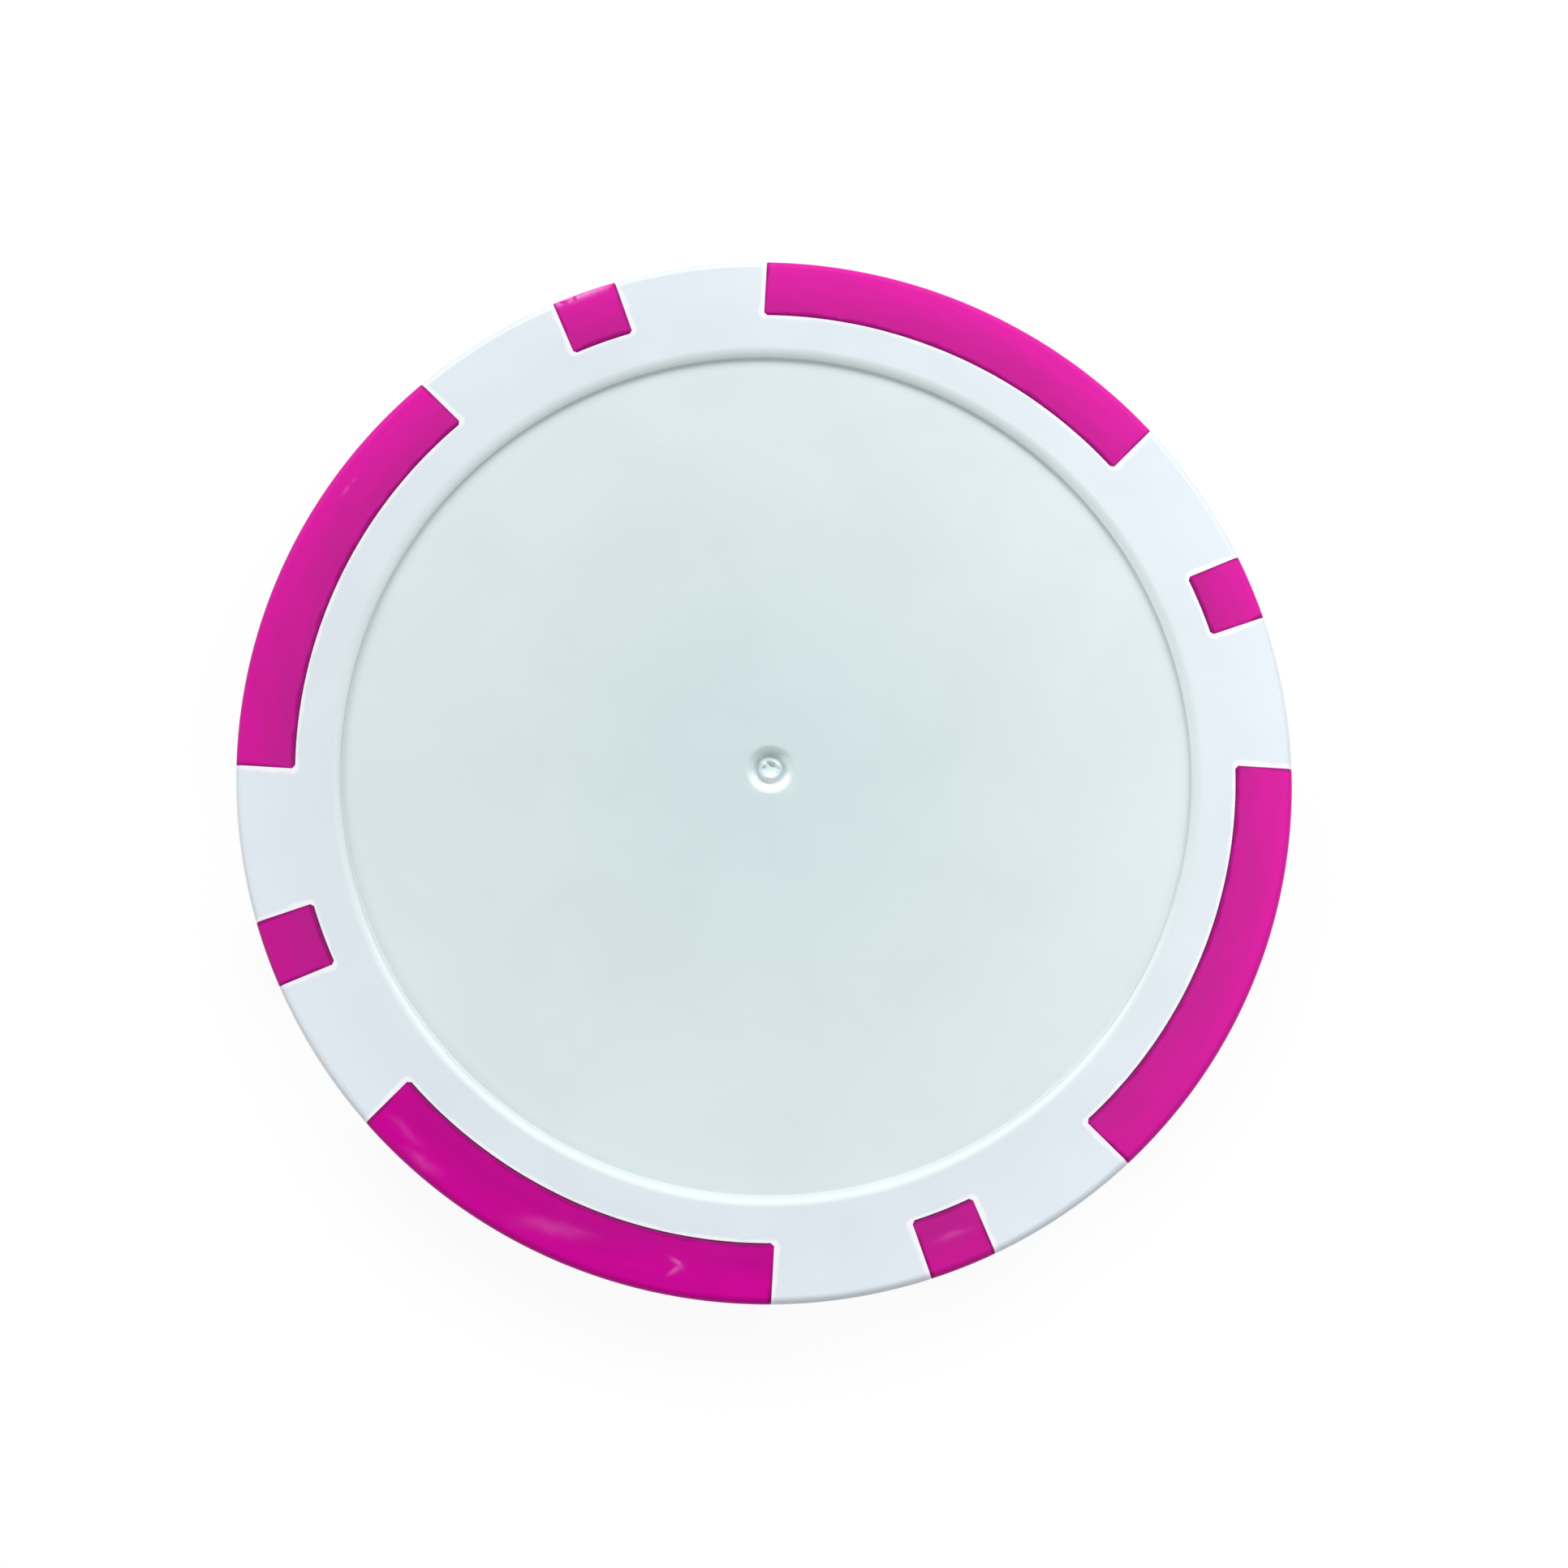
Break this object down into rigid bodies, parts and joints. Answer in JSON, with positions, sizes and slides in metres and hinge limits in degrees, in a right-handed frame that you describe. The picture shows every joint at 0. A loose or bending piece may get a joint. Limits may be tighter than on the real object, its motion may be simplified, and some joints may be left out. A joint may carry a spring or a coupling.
{
  "type": "poker chip",
  "caption": "Round weighted plastic poker chip with a white body, magenta long and short edge spots and a bare label recess on each face, for stacking and betting.",
  "frame": {"origin": "on the chip's axis, in the plane of the back rim that it lies on", "axes": "+Z along the chip's axis, from the back face to the front face; +X through the middle of a long edge spot"},
  "size_m": [0.04, 0.04, 0.0033],
  "materials": {
    "white_plastic": "gloss",
    "magenta_plastic": "gloss",
    "slug_steel": "satin"
  },
  "bodies": {
    "root": {"front_shell": "white_plastic", "back_shell": "white_plastic", "steel_slug": "slug_steel", "long_edge_spot_1": "magenta_plastic", "long_edge_spot_2": "magenta_plastic", "long_edge_spot_3": "magenta_plastic", "long_edge_spot_4": "magenta_plastic", "short_edge_spot_1": "magenta_plastic", "short_edge_spot_2": "magenta_plastic", "short_edge_spot_3": "magenta_plastic", "short_edge_spot_4": "magenta_plastic"}
  },
  "joints": []
}
